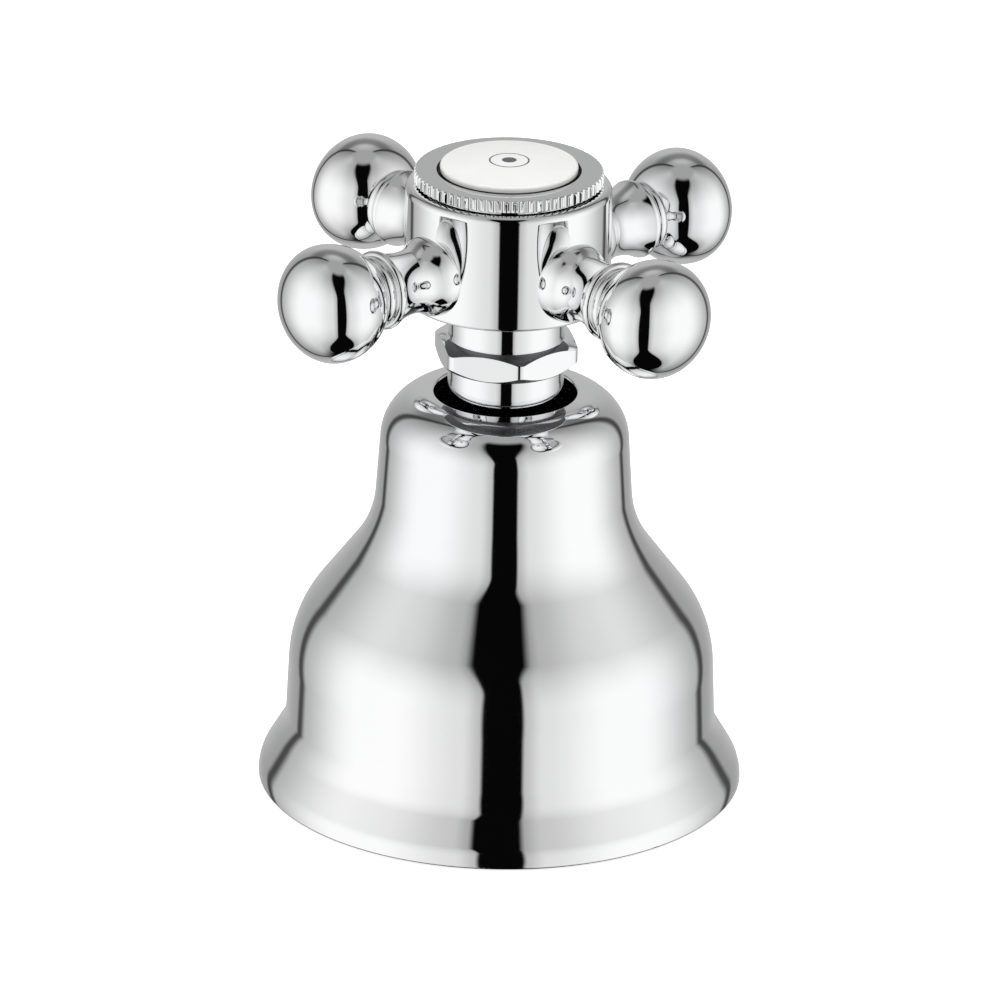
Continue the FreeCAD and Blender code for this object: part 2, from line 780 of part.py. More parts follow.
def make_carrier():
    """The black ring that centres the bell: its rubber ring grips the inside of the bell's neck."""
    height = barrel_top + size("carrier_length") / 2
    ring_radius = size("carrier_ring_thickness") / 2
    wall = size("bell_wall")
    climb = (height - size("neck_height")) / (inner_crown_height - size("neck_height"))
    bell_bore = size("neck_radius") - wall - (size("neck_radius") - size("crown_radius")) * climb
    ring_centre = bell_bore - size("ring_fit") - ring_radius
    groove = ring_centre - ring_radius - size("ring_fit")
    half_groove = ring_radius + size("ring_fit")
    turned("shroud_carrier", [
        (carrier_bore, barrel_top),
        (size("carrier_radius"), barrel_top),
        (size("carrier_radius"), height - half_groove),
        (groove, height - half_groove),
        (groove, height + half_groove),
        (size("carrier_radius"), height + half_groove),
        (size("carrier_radius"), carrier_top),
        (carrier_bore, carrier_top),
    ])
    ring_of_wire("carrier_o_ring", ring_centre, height, ring_radius)
    lock_top = carrier_top + size("lock_nut_length")
    lock = turned("carrier_lock_nut", tube_corners(carrier_bore, size("lock_nut_radius"),
                                                   carrier_top, lock_top))
    bar_cut(lock, size("lock_nut_radius") - size("lock_nut_slot_depth"),
            size("lock_nut_radius") + size("overcut"), size("lock_nut_slot"), lock_top,
            size("lock_nut_length"), QUARTERS)


# ---------------------------------------------------------------- handle


def make_hub():
    """The drum of the handle: a bored floor for the spline, a threaded mouth for the cap ring."""
    radius = size("hub_radius")
    bottom_round = size("hub_bottom_round")
    top_round = size("hub_top_round")
    groove_bottom = hub_top - size("cap_thread_depth")
    hub = turned("handle_hub", [
        (hub_bore, hub_bottom),
        (radius - bottom_round, hub_bottom),
        (radius, hub_bottom + bottom_round, bottom_round, "left"),
        (radius, hub_top - top_round),
        (radius - top_round, hub_top, top_round, "left"),
        (size("cap_thread_radius"), hub_top),
        (size("cap_thread_radius"), groove_bottom),
        (size("ledge_radius"), groove_bottom),
        (size("ledge_radius"), ledge_top),
        (size("ledge_radius") - size("ledge_wall"), ledge_top),
        (size("ledge_radius") - size("ledge_wall"), hub_floor),
        (hub_bore, hub_floor),
    ])
    outside = radius + size("overcut")
    socket = new_sketch(hub, "YZ_Plane", outside)
    circle(socket, ZERO, arm_height, size("spigot_radius") + size("ring_fit"))
    shape_with(hub, "Pocket", socket,
               length=outside - size("spigot_start") + size("ring_fit"), copies=QUARTERS)


def make_arm(name, turn):
    """One turned arm along +X, then swung to its place: spigot, boss, neck, two beads, ball.
    The boss falls to the neck in two equal arcs, the first one rounded and the second hollow."""
    root, neck = size("arm_root_radius"), size("arm_neck_radius")
    fall_length = size("arm_neck_start") - size("hub_radius") + size("free_gap")
    fall = root - neck
    fall_radius = (fall_length * fall_length + fall * fall) / (4 * fall)
    fall_start = size("arm_neck_start") - fall_length
    first_end = size("bead_start") + size("bead_width")
    second_start = first_end + size("bead_gap")
    second_end = second_start + size("small_bead_width")
    arm = new_body(name)
    turn_solid(arm, [
        (size("spigot_start"), ZERO),
        (size("spigot_start"), root),
        (fall_start, root),
        (fall_start + fall_length / 2, neck + fall / 2, fall_radius, "right"),
        (size("arm_neck_start"), neck, fall_radius, "left"),
        (size("bead_start"), neck),
        (size("bead_start"), size("bead_foot_radius")),
        (first_end, size("bead_foot_radius"), size("bead_width") * size("bead_roundness"), "right"),
        (first_end, size("ball_neck_radius")),
        (second_start, size("ball_neck_radius")),
        (second_start, size("small_bead_foot_radius")),
        (second_end, size("small_bead_foot_radius"),
         size("small_bead_width") * size("bead_roundness"), "right"),
        (second_end, size("ball_neck_radius")),
        (size("ball_reach"), size("ball_neck_radius")),
        (size("ball_reach"), ZERO),
    ], axis="H_Axis")
    # the root of the arm is hollowed to sit on the round wall of the hub
    above_root = root + size("overcut")
    saddle = new_sketch(arm, "XY_Plane", above_root)
    circle(saddle, ZERO, ZERO, size("hub_radius"))
    shape_with(arm, "Pocket", saddle, length=TWO * above_root)
    ball = arm.newObject("PartDesign::AdditiveEllipsoid", f"{name}_ball")
    ball.setExpression("Radius1", size("ball_radius").formula)
    ball.setExpression("Radius2", size("ball_half_length").formula)
    ball.setExpression("Radius3", size("ball_radius").formula)
    plane = next(part for part in arm.Origin.OriginFeatures if part.Role == "XY_Plane")
    ball.AttachmentSupport = [(plane, "")]
    ball.MapMode = "FlatFace"
    ball.setExpression("AttachmentOffset.Base.x", size("ball_reach").formula)
    doc.recompute()
    spigot = new_sketch(arm, "YZ_Plane", size("spigot_start"))
    circle(spigot, ZERO, ZERO, size("spigot_radius"))
    shape_with(arm, "Pad", spigot,
               length=size("hub_radius") + size("overcut") - size("spigot_start"))
    arm.setExpression("Placement.Base.z", arm_height.formula)
    arm.setExpression("Placement.Rotation.Angle", turn.formula)
    return arm


def make_handle_fixings():
    """Splined insert in the hub, and the screw and washer that hold the handle on the spindle."""
    bore = size("stalk_radius") + size("ring_fit")
    insert = turned("spline_insert", tube_corners(bore, size("insert_radius"),
                                                  spline_start, hub_floor))
    rib = new_sketch(insert, "XY_Plane", spline_start)
    half_mouth = size("spline_mouth") / 2 - size("thread_fit")
    outline(rib, [
        (size("stalk_radius") - size("spline_depth") + size("thread_fit"), ZERO),
        (bore + size("free_gap"), ZERO - half_mouth),
        (bore + size("free_gap"), half_mouth),
    ])
    shape_with(insert, "Pad", rib, length=hub_floor - spline_start,
               copies=size("spline_teeth"))
    washer_top_height = hub_floor + size("screw_washer_thickness")
    turned("lock_washer", tube_corners(size("washer_hole"), size("screw_washer_radius"),
                                       hub_floor, washer_top_height))
    head_top = washer_top_height + size("screw_head_length")
    screw = turned("handle_screw", [
        (ZERO, washer_top_height - size("screw_shank_length")),
        (size("screw_radius"), washer_top_height - size("screw_shank_length")),
        (size("screw_radius"), washer_top_height),
        (size("screw_head_radius"), washer_top_height),
        (size("screw_head_radius"), head_top),
        (ZERO, head_top),
    ])
    socket = new_sketch(screw, "XY_Plane", head_top)
    hexagon(socket, size("screw_socket_flats"), ZERO)
    shape_with(screw, "Pocket", socket, length=size("screw_socket_depth"))


# ---------------------------------------------------------------- cap


def make_cap():
    """The reeded ring that screws into the hub, and the porcelain index that it holds."""
    skirt_radius = size("cap_thread_radius") - size("thread_fit")
    skirt_bore = skirt_radius - size("cap_skirt_wall")
    edge = size("cap_edge_round")
    ring = turned("cap_ring", [
        (skirt_bore, cap_bottom - size("cap_skirt_length")),
        (skirt_radius, cap_bottom - size("cap_skirt_length")),
        (skirt_radius, cap_bottom),
        (size("cap_radius"), cap_bottom),
        (size("cap_radius"), cap_top - edge),
        (size("cap_top_radius"), cap_top, edge, "left"),
        (size("cap_opening"), cap_top),
        (size("cap_opening"), cap_seat),
        (skirt_bore, cap_seat),
    ])
    flute_radius = math.pi * size("cap_radius") / size("reeds") * size("reed_roundness")
    flute = new_sketch(ring, "XY_Plane", cap_top + size("overcut"))
    half_reed_turn = 180 / size("reeds")
    flute_centre = size("cap_radius") + flute_radius - size("reed_depth")
    flute.setExpression("AttachmentOffset.Rotation.Angle", half_reed_turn.formula)
    circle(flute, flute_centre, ZERO, flute_radius)
    shape_with(ring, "Pocket", flute, length=size("cap_thickness") + TWO * size("overcut"),
               copies=size("reeds"))

    edge_top = cap_top + size("index_edge_height")
    rounding = size("index_edge_round")
    flat_radius = size("index_radius") - rounding
    dome_radius = (flat_radius * flat_radius + size("index_rise") * size("index_rise")) / (
        2 * size("index_rise"))
    turned("index_disc", [
        (ZERO, index_gasket_top),
        (size("index_flange_radius"), index_gasket_top),
        (size("index_flange_radius"), cap_seat - size("face_gap")),
        (size("index_radius"), cap_seat - size("face_gap")),
        (size("index_radius"), edge_top - rounding),
        (flat_radius, edge_top, rounding, "left"),
        (ZERO, edge_top + size("index_rise"), dome_radius, "left"),
    ])
    turned("index_gasket", tube_corners(size("index_flange_radius") - size("index_gasket_width"),
                                        size("index_flange_radius"), ledge_top, index_gasket_top))


# ---------------------------------------------------------------- build, check and write

make_bell()
make_headwork_body()
make_seals()
make_discs()
make_spindle()
make_spindle_fittings()
make_sleeve_and_nut()
make_carrier()
make_hub()
for quarter, side in enumerate(("right", "back", "left", "front")):
    make_arm(f"arm_{side}", RIGHT_ANGLE * quarter)
make_handle_fixings()
make_cap()

doc.recompute()
for item in doc.Objects:
    if "Invalid" in item.State or "Error" in item.State:
        raise RuntimeError(f"{item.Label} failed: {item.State}")

bodies = [item for item in doc.Objects if item.TypeId == "PartDesign::Body"]
for body in bodies:
    if body.Shape.isNull() or not body.Shape.isValid():
        raise RuntimeError(f"{body.Label} has no valid shape")
    body.Shape.exportStep(f"parts/{body.Label}.step")
    print(f"{body.Label}: {len(body.Shape.Solids)} solid, {body.Shape.Volume:.1f} mm3")
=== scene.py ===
import math

import bpy
from mathutils import Matrix, Vector


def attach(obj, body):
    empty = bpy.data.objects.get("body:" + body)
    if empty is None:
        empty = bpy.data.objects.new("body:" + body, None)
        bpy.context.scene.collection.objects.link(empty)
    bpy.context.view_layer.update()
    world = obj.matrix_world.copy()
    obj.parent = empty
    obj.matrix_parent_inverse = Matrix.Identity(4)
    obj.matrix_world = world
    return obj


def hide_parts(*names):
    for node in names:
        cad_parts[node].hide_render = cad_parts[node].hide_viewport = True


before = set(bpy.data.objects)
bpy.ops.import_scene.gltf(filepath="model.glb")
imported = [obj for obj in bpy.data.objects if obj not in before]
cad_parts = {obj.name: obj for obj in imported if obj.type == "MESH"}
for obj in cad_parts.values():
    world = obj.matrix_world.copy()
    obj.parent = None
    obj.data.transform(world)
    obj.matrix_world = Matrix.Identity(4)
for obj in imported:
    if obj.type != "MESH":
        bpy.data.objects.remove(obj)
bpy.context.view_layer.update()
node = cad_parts

# ---------------------------------------------------------------- bell
# The bell is spun from brass sheet 1.5 mm thick over a former, polished and chromed bright, with
# the faint waviness of the polishing mop. Its rim is turned in below to hold a rubber ring, and
# the hole in its crown clears the sleeve.

MM = 0.001
TURN_STEPS = 192


def rounded(corners, fineness=5.0):
    """A closed outline with round corners, from (across, up, corner radius) anticlockwise."""
    line = []
    for index, (x, y, radius) in enumerate(corners):
        here = Vector((x, y))
        before = Vector(corners[index - 1][:2])
        after = Vector(corners[(index + 1) % len(corners)][:2])
        way_in = (here - before).normalized()
        way_out = (after - here).normalized()
        bend = math.atan2(way_in.x * way_out.y - way_in.y * way_out.x, way_in.dot(way_out))
        if radius <= 0 or abs(bend) < 1e-4:
            line.append((x, y))
            continue
        start = here - way_in * radius * math.tan(abs(bend) / 2)
        side = 1 if bend > 0 else -1
        centre = start + Vector((-way_in.y, way_in.x)) * radius * side
        steps = max(3, math.ceil(math.degrees(abs(bend)) / fineness))
        for step in range(steps + 1):
            spoke = start - centre
            spoke.rotate(Matrix.Rotation(bend * step / steps, 2))
            line.append(tuple(centre + spoke))
    return line


def outward(line, closed):
    """The normal at each point of an outline, weighted by the lengths of its two edges."""
    count = len(line)
    points = [Vector(point) for point in line]
    normals = []
    for index in range(count):
        total = Vector((0, 0))
        for first, last in ((index - 1, index), (index, index + 1)):
            if not closed and (first < 0 or last >= count):
                continue
            edge = points[last % count] - points[first % count]
            total += Vector((edge.y, -edge.x))
        normals.append(total.normalized())
    return normals


def shaped(name, vertices, faces):
    """A piece with a smooth skin, from its points in metres."""
    mesh = bpy.data.meshes.new(name)
    mesh.from_pydata(vertices, [], faces)
    mesh.shade_smooth()
    piece = bpy.data.objects.new(name, mesh)
    bpy.context.scene.collection.objects.link(piece)
    return piece


def turned(name, line, closed=True, steps=TURN_STEPS, axis=Matrix.Identity(4)):
    """A piece turned about +Z from an outline in millimetres, with the turning's own normals."""
    vertices, normals, rows, faces = [], [], [], []
    for (radius, height), normal in zip(line, outward(line, closed)):
        count = steps if radius > 1e-6 else 1
        rows.append([len(vertices) + step for step in range(count)])
        for step in range(count):
            angle = 2 * math.pi * step / steps
            ray = Vector((math.cos(angle), math.sin(angle), 0))
            vertices.append((ray * radius + Vector((0, 0, height))) * MM)
            normals.append(ray * normal.x + Vector((0, 0, normal.y)) if count > 1
                           else Vector((0, 0, math.copysign(1, normal.y))))
    for index in range(len(line) if closed else len(line) - 1):
        low, high = rows[index], rows[(index + 1) % len(rows)]
        for step in range(steps):
            ring = [low[step % len(low)], low[(step + 1) % len(low)],
                    high[(step + 1) % len(high)], high[step % len(high)]]
            face = [v for place, v in enumerate(ring) if v != ring[place - 1]]
            if len(face) > 2:
                faces.append(face)
    piece = shaped(name, [axis @ vertex for vertex in vertices], faces)
    piece.data.normals_split_custom_set_from_vertices([axis.to_3x3() @ normal
                                                       for normal in normals])
    return piece


def finish(name, colour, metal=0.0, rough=0.3):
    """A node material with its main shader, ready for the detail of one finish."""
    material = bpy.data.materials.new(name)
    material.use_nodes = True
    shader = material.node_tree.nodes["Principled BSDF"]
    shader.inputs["Base Color"].default_value = (*colour, 1)
    shader.inputs["Metallic"].default_value = metal
    shader.inputs["Roughness"].default_value = rough
    return material, material.node_tree, shader


def noise(tree, scale, detail=3.0, stretch=(1, 1, 1)):
    """Cloudy noise fixed to the piece, its scale in cells per metre."""
    place = tree.nodes.new("ShaderNodeTexCoord")
    mapping = tree.nodes.new("ShaderNodeMapping")
    mapping.inputs["Scale"].default_value = stretch
    texture = tree.nodes.new("ShaderNodeTexNoise")
    texture.inputs["Scale"].default_value = scale
    texture.inputs["Detail"].default_value = detail
    tree.links.new(place.outputs["Object"], mapping.inputs["Vector"])
    tree.links.new(mapping.outputs["Vector"], texture.inputs["Vector"])
    return texture.outputs["Fac"]


def vary_roughness(tree, shader, value, low, high):
    """Roughness that wanders between two values."""
    span = tree.nodes.new("ShaderNodeMapRange")
    span.inputs["From Min"].default_value = 0.3
    span.inputs["From Max"].default_value = 0.7
    span.inputs["To Min"].default_value = low
    span.inputs["To Max"].default_value = high
    tree.links.new(value, span.inputs["Value"])
    tree.links.new(span.outputs["Result"], shader.inputs["Roughness"])


def tint(tree, value, first, second):
    """Two tones mixed by noise."""
    ramp = tree.nodes.new("ShaderNodeValToRGB")
    ramp.color_ramp.elements[0].position = 0.3
    ramp.color_ramp.elements[1].position = 0.7
    ramp.color_ramp.elements[0].color = (*first, 1)
    ramp.color_ramp.elements[1].color = (*second, 1)
    tree.links.new(value, ramp.inputs["Fac"])
    return ramp.outputs["Color"]


def vary_colour(tree, shader, value, first, second):
    """A surface colour that wanders between two tones."""
    tree.links.new(tint(tree, value, first, second), shader.inputs["Base Color"])


def relief(tree, shader, value, height):
    """Bumps of that height in metres."""
    bump = tree.nodes.new("ShaderNodeBump")
    bump.inputs["Strength"].default_value = 1.0
    bump.inputs["Distance"].default_value = height
    tree.links.new(value, bump.inputs["Height"])
    tree.links.new(bump.outputs["Normal"], shader.inputs["Normal"])


def dress(piece, material, body, slot, *nodes):
    """Give a new piece its finish and its body, and hide the parts that it stands for."""
    piece.data.materials.append(material)
    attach(piece, body)
    if nodes:
        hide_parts(*nodes)
    return piece


bell_outline = rounded([
    (29.7, 0.0, 0.2),
    (31.5, 0.0, 0.3),
    (31.5, 1.45, 4.6),
    (28.03, 7.3, 7.5),
    (27.42, 21.3, 16.0),
    (16.9, 35.2, 15.0),
    (15.7, 52.8, 6.5),
    (9.2, 53.6, 0.35),
    (9.2, 52.1, 0.3),
    (14.2, 51.3, 5.0),
    (15.4, 34.8, 16.5),
    (25.92, 20.9, 14.5),
    (26.5, 8.3, 0.3),
    (27.5, 2.4, 0.2),
    (29.7, 2.4, 0.1),
], fineness=3.0)
chrome, tree, shader = finish("bright chrome", (0.88, 0.885, 0.89), metal=1.0, rough=0.03)
vary_roughness(tree, shader, noise(tree, 90, 4), 0.015, 0.05)
vary_colour(tree, shader, noise(tree, 25), (0.87, 0.875, 0.885), (0.9, 0.9, 0.9))
relief(tree, shader, noise(tree, 45, 2), 0.000004)
dress(turned("bell_shell", bell_outline, steps=288), chrome, "tap_base", "chrome",
      "bell_escutcheon")

# ---------------------------------------------------------------- rubber rings
# The ring in the bell's rim, the gasket under the porcelain, and the rings under the headwork's
# flange and nose, on the spindle and in the carrier are moulded in black rubber, with the dull
# bloom and fine grain that the mould leaves.


def keep(name, material):
    """A part that keeps its own shape and takes a finish."""
    node[name].data.materials.clear()
    node[name].data.materials.append(material)


# This black rubber is also painted on the porcelain's lower wall, as painted shade in the gap.
rubber_and_shade, tree, shader = finish("black rubber", (0.018, 0.018, 0.019), rough=0.6)
vary_colour(tree, shader, noise(tree, 300, 5), (0.012, 0.012, 0.013), (0.03, 0.03, 0.031))
vary_roughness(tree, shader, noise(tree, 900, 4), 0.5, 0.75)
relief(tree, shader, noise(tree, 5000, 4), 0.00002)
for name in ("base_seal", "headwork_o_ring", "seat_seal", "spindle_o_ring_lower",
             "spindle_o_ring_upper", "carrier_o_ring", "index_gasket"):
    keep(name, rubber_and_shade)

# ---------------------------------------------------------------- headwork and spindle
# Both are turned from brass bar and left unplated, so fine tool rings run round them. The
# headwork screws into the valve body below, and the spindle turns inside it.

brass, tree, shader = finish("turned brass", (0.74, 0.56, 0.27), metal=1.0, rough=0.28)
vary_colour(tree, shader, noise(tree, 180, 4), (0.68, 0.5, 0.23), (0.8, 0.63, 0.33))
tool_rings = noise(tree, 9000, 2, stretch=(0.02, 0.02, 1))
vary_roughness(tree, shader, tool_rings, 0.2, 0.38)
relief(tree, shader, tool_rings, 0.00001)
for name in ("headwork_body", "spindle"):
    keep(name, brass)

# ---------------------------------------------------------------- ceramic discs
# Two discs of lapped alumina, ivory white, with the faint cloud of sintered powder. Lugs hold the
# lower one still in the headwork, and the spindle's foot turns the upper one on it.

ceramic, tree, shader = finish("lapped ceramic", (0.84, 0.82, 0.76), rough=0.22)
vary_colour(tree, shader, noise(tree, 700, 6), (0.8, 0.78, 0.71), (0.88, 0.86, 0.8))
vary_roughness(tree, shader, noise(tree, 2500, 3), 0.15, 0.3)
for name in ("fixed_disc", "moving_disc"):
    keep(name, ceramic)

# ---------------------------------------------------------------- plastic and steel fittings
# Bush, slip washer and splined insert are turned from natural acetal.
# The screw, its washer and the spring clip are stainless steel.

acetal, tree, shader = finish("natural acetal", (0.82, 0.81, 0.76), rough=0.42)
vary_colour(tree, shader, noise(tree, 500, 3), (0.79, 0.78, 0.72), (0.85, 0.84, 0.79))
relief(tree, shader, noise(tree, 8000, 2, stretch=(0.03, 0.03, 1)), 0.00001)
for name in ("spindle_bush", "slip_washer", "spline_insert"):
    keep(name, acetal)

steel, tree, shader = finish("stainless steel", (0.56, 0.57, 0.58), metal=1.0, rough=0.3)
vary_roughness(tree, shader, noise(tree, 4000, 3, stretch=(1, 1, 0.05)), 0.22, 0.4)
relief(tree, shader, noise(tree, 6000, 2, stretch=(1, 1, 0.05)), 0.000008)
for name in ("spindle_circlip", "handle_screw", "lock_washer"):
    keep(name, steel)

# ---------------------------------------------------------------- bell carrier
# A black moulded ring on the sleeve centres the bell, and a slotted ring nut holds it.
# Both lie in the dark gap inside the bell's crown, where their black plastic also serves as
# painted shade.

black_plastic_and_shade, tree, shader = finish("black moulded plastic", (0.012, 0.012, 0.013), rough=0.5)
vary_roughness(tree, shader, noise(tree, 1500, 4), 0.42, 0.6)
relief(tree, shader, noise(tree, 4000, 4), 0.000015)
for name in ("shroud_carrier", "carrier_lock_nut"):
    keep(name, black_plastic_and_shade)

# ---------------------------------------------------------------- sleeve
# A chromed brass tube that slips over the stem, cut square and lightly broken at its ends.
# The nut clamps it from above.

STEM_BORE, COLLAR = 6.3, 7.5
SLEEVE_BOTTOM, NUT_BOTTOM = 38.0, 57.65
sleeve_outline = rounded([
    (STEM_BORE, SLEEVE_BOTTOM, 0.1),
    (COLLAR, SLEEVE_BOTTOM, 0.2),
    (COLLAR, NUT_BOTTOM, 0.25),
    (STEM_BORE, NUT_BOTTOM, 0.1),
])
dress(turned("sleeve_tube", sleeve_outline, steps=128), chrome, "tap_base", "chrome",
      "cover_sleeve")

# ---------------------------------------------------------------- gland nut
# Turned from hexagon brass bar and chamfered at both ends, with a plain collar up to the handle.
# Polishing softens its edges before the chrome goes on; its downward faces are left dull and are
# painted dark, as painted shade.

NUT_FLATS, NUT_TURN = 17.0, 31.9
CORNER_ROUNDING, FLAT_PIECES = 1.4, 14
HEXAGON_TOP, NUT_TOP = 61.3, 66.3
BORE_TOP, SPINDLE_HOLE = 61.4, 4.3
TOP_SLOPE, UPPER_SLOPE, LOWER_SLOPE = 0.2, 0.55, 0.8
UPPER_BREAK, UPPER_DROP, LOWER_BREAK = 0.04, 0.02, 0.2
EDGE_POLISH = 0.18
flat_reach = NUT_FLATS / 2
corner_reach = flat_reach / math.cos(math.radians(30))
shoulder = HEXAGON_TOP - (flat_reach - COLLAR) * TOP_SLOPE


def nut_rows(reach):
    """The nut's outline where it reaches that far out: the chamfers cut deeper at the corners."""
    upper = (reach - flat_reach) * UPPER_SLOPE + UPPER_DROP
    lower = (reach - flat_reach + LOWER_BREAK) * LOWER_SLOPE
    return [
        (STEM_BORE, NUT_BOTTOM),
        (flat_reach - LOWER_BREAK, NUT_BOTTOM),
        (reach, NUT_BOTTOM + lower),
        (reach, shoulder - upper),
        (flat_reach - UPPER_BREAK, shoulder),
        (COLLAR, HEXAGON_TOP),
        (COLLAR, NUT_TOP),
        (SPINDLE_HOLE, NUT_TOP),
        (SPINDLE_HOLE, BORE_TOP),
        (STEM_BORE, BORE_TOP),
    ]


def wrapped(name, columns):
    """A closed piece from like columns of points that stand side by side round the axis."""
    height = len(columns[0])
    faces = []
    for step in range(len(columns)):
        here, there = step * height, (step + 1) % len(columns) * height
        for row in range(height):
            up = (row + 1) % height
            faces.append((here + row, there + row, there + up, here + up))
    return shaped(name, [point for column in columns for point in column], faces)


def refinish(piece, material, wanted):
    """A second finish, on the faces that the test picks."""
    piece.data.materials.append(material)
    for face in piece.data.polygons:
        if wanted(face):
            face.material_index = 1


corners = []
for side in range(6):
    angle = math.radians(NUT_TURN + 60 * side)
    corners.append((corner_reach * math.cos(angle), corner_reach * math.sin(angle),
                    CORNER_ROUNDING))
soft_hexagon = [Vector(point) for point in rounded(corners)]
columns = []
for index, point in enumerate(soft_hexagon):
    edge = soft_hexagon[(index + 1) % len(soft_hexagon)] - point
    pieces = FLAT_PIECES if edge.length > CORNER_ROUNDING else 1
    for piece in range(pieces):
        spot = point + edge * piece / pieces
        ray = Vector((*spot.normalized(), 0))
        columns.append([(ray * reach + Vector((0, 0, height))) * MM
                        for reach, height in nut_rows(spot.length)])
nut = wrapped("hexagon_nut", columns)
bevel = nut.modifiers.new("polished edges", "BEVEL")
bevel.width = EDGE_POLISH * MM
bevel.segments = 3
bevel.limit_method = "ANGLE"
bevel.angle_limit = math.radians(18)
bevel.harden_normals = True
dress(nut, chrome, "tap_base", "chrome", "gland_nut")
# The dark tone of this dull chrome is painted shade, for the faces that look down.
dull_shaded_plate, tree, shader = finish("unpolished chrome painted dark", (0.2, 0.2, 0.205), metal=1.0, rough=0.34)
vary_roughness(tree, shader, noise(tree, 3000, 3, stretch=(1, 1, 0.2)), 0.28, 0.42)
relief(tree, shader, noise(tree, 2500, 3), 0.00001)
# The nut's downward chamfer and underside take the painted shade.
refinish(nut, dull_shaded_plate, lambda face: face.normal.z < -0.3)

# ---------------------------------------------------------------- hub
# The drum of the handle is turned and bored brass, with soft rims, a floor for the spline and a
# threaded mouth for the cap ring. Its underside is plated as it was turned, so it is dull, and it
# is painted dark as painted shade.

hub_outline = rounded([
    (5.6, 66.6, 0.1),
    (13.26, 66.6, 0.5),
    (13.26, 82.05, 1.0),
    (11.0, 82.05, 0.12),
    (11.0, 77.5, 0.1),
    (9.6, 77.5, 0.1),
    (9.6, 81.1, 0.1),
    (8.5, 81.1, 0.1),
    (8.5, 76.5, 0.1),
    (5.6, 76.5, 0.1),
])
hub = dress(turned("hub_drum", hub_outline), chrome, "handle", "chrome", "handle_hub")
refinish(hub, dull_shaded_plate, lambda face: face.normal.z < -0.95)

# ---------------------------------------------------------------- arms
# Each arm is one turning: a rounded boss against the drum, a waist that flares to two beads, and
# a ball end that is flatter outside. It is fixed in the drum by a spigot and plated with it.

ARM_HEIGHT = 72.27
ARM_START, BOSS_END = 11.6, 11.9
FALL_START, WAIST_AT, FLARE_AT = 12.2, 16.8, 20.7
ROOT, WAIST, FLARE, NECK = 5.3, 4.1, 5.0, 4.33
FIRST_BEAD_END, FIRST_BEAD = (4.4, 21.75), 0.65
GROOVE = [(4.38, 21.82), (4.38, 21.9)]
SECOND_BEAD_START, SECOND_BEAD_END, SECOND_BEAD = (4.45, 21.95), (4.4, 23.08), 0.72
BALL_REACH, BALL_RADIUS = 29.1, 7.64
INNER_HALF, OUTER_HALF, BALL_STEPS = 7.3, 6.02, 64


def arc(start, end, radius, turn, steps):
    """Points along a circular edge between two corners, turning left or right."""
    start, end = Vector(start), Vector(end)
    chord = end - start
    side = 1 if turn == "left" else -1
    rise = math.sqrt(radius * radius - chord.length_squared / 4)
    centre = (start + end) / 2 + Vector((-chord.y, chord.x)).normalized() * rise * side
    first, last = start - centre, end - centre
    sweep = first.angle_signed(last)
    points = []
    for step in range(steps + 1):
        spoke = first.copy()
        spoke.rotate(Matrix.Rotation(-sweep * step / steps, 2))
        points.append(tuple(centre + spoke))
    return points


fall, fall_length = ROOT - WAIST, WAIST_AT - FALL_START
fall_radius = (fall_length ** 2 + fall ** 2) / (4 * fall)
flare_radius = ((FLARE_AT - WAIST_AT) ** 2 + (FLARE - WAIST) ** 2) / (2 * (FLARE - WAIST))
middle = (WAIST + fall / 2, FALL_START + fall_length / 2)
arm_line = [(0, ARM_START), (ROOT, ARM_START), (ROOT, BOSS_END)]
arm_line += arc((ROOT, FALL_START), middle, fall_radius, "left", 14)
arm_line += arc(middle, (WAIST, WAIST_AT), fall_radius, "right", 14)[1:]
arm_line += arc((WAIST, WAIST_AT), (FLARE, FLARE_AT), flare_radius, "right", 16)[1:]
arm_line += arc((FLARE, FLARE_AT), FIRST_BEAD_END, FIRST_BEAD, "left", 16)[1:]
arm_line += GROOVE
arm_line += arc(SECOND_BEAD_START, SECOND_BEAD_END, SECOND_BEAD, "left", 16)
ball_start = math.acos(NECK / BALL_RADIUS)
for step in range(BALL_STEPS + 1):
    turn = -ball_start + (math.pi / 2 + ball_start) * step / BALL_STEPS
    half = OUTER_HALF if turn > 0 else INNER_HALF
    arm_line.append((BALL_RADIUS * math.cos(turn) if step < BALL_STEPS else 0,
                     BALL_REACH + half * math.sin(turn)))
for quarter, side in enumerate(("right", "back", "left", "front")):
    out = Matrix.Rotation(math.pi / 2 * quarter, 4, "Z") @ Matrix.Rotation(math.pi / 2, 4, "Y")
    placed = Matrix.Translation((0, 0, ARM_HEIGHT * MM)) @ out
    arm = turned(f"turned_arm_{side}", arm_line, closed=False, steps=128, axis=placed)
    dress(arm, chrome, "handle", "chrome", f"arm_{side}")

# ---------------------------------------------------------------- cap ring
# A thin turned ring, reeded all round its edge so that it can be gripped, with a threaded
# skirt that goes down into the drum. Its flat top frames the porcelain; faced on the lathe after
# the edge is polished, it is a little rougher, and it is painted a darker tone as painted shade.

REEDS, REED_STEPS = 70, 14
RING_RADIUS, REED_DEPTH, REED_ROUNDNESS = 12.15, 0.3, 0.8
pitch = 2 * math.pi * RING_RADIUS / REEDS
flute_radius = pitch / 2 * REED_ROUNDNESS


def reed_depth_at(phase):
    """How far the edge falls back between two reeds, for a phase from 0 to 1 across one reed."""
    off = (phase - 0.5) * pitch
    centre = flute_radius - REED_DEPTH
    reach = flute_radius ** 2 - off ** 2
    return max(0.0, math.sqrt(reach) - centre) if reach > 0 else 0.0


